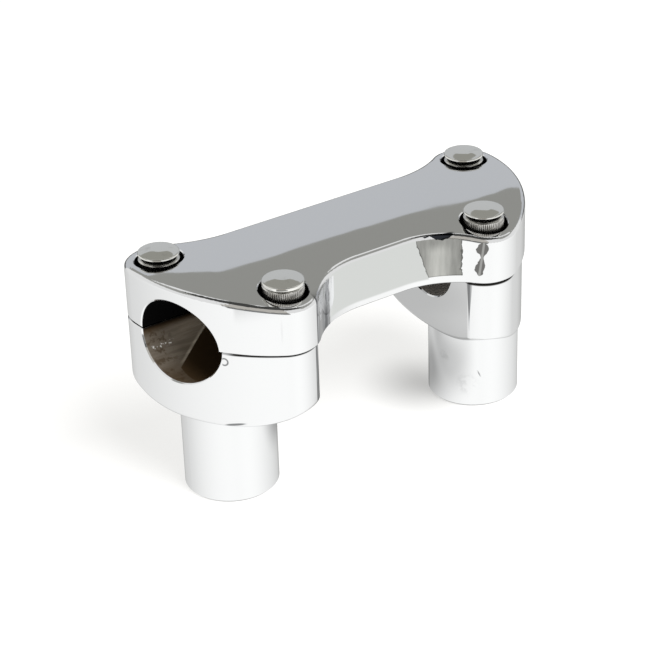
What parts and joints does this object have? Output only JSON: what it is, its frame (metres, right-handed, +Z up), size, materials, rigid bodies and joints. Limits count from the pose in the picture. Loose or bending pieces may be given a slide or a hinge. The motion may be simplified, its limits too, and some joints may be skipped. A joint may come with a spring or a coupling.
{
  "type": "motorcycle bar riser",
  "caption": "Polished chrome handlebar riser set: round posts with skewed saddles, joined by a one-piece bridged top clamp over a through bar bore, with capped socket head screws.",
  "frame": {"origin": "on the mounting plane at the feet of the posts, midway between the two post axes", "axes": "+X along the handlebar towards the right riser, +Y towards the front wheel, +Z up along the posts"},
  "size_m": [0.128, 0.0548, 0.0708],
  "materials": {
    "plated_body": "polished",
    "screw": "plated over a knurl",
    "washer": "zinc plated",
    "cap": "polished"
  },
  "bodies": {
    "root": {"top_clamp": "plated_body", "right_riser": "plated_body", "left_riser": "plated_body", "clamp_screw_left_front": "screw", "clamp_screw_left_rear": "screw", "clamp_screw_right_front": "screw", "clamp_screw_right_rear": "screw", "lock_washer_left_front": "washer", "lock_washer_left_rear": "washer", "lock_washer_right_front": "washer", "lock_washer_right_rear": "washer", "screw_cap_left_front": "cap", "screw_cap_left_rear": "cap", "screw_cap_right_front": "cap", "screw_cap_right_rear": "cap"}
  },
  "joints": []
}
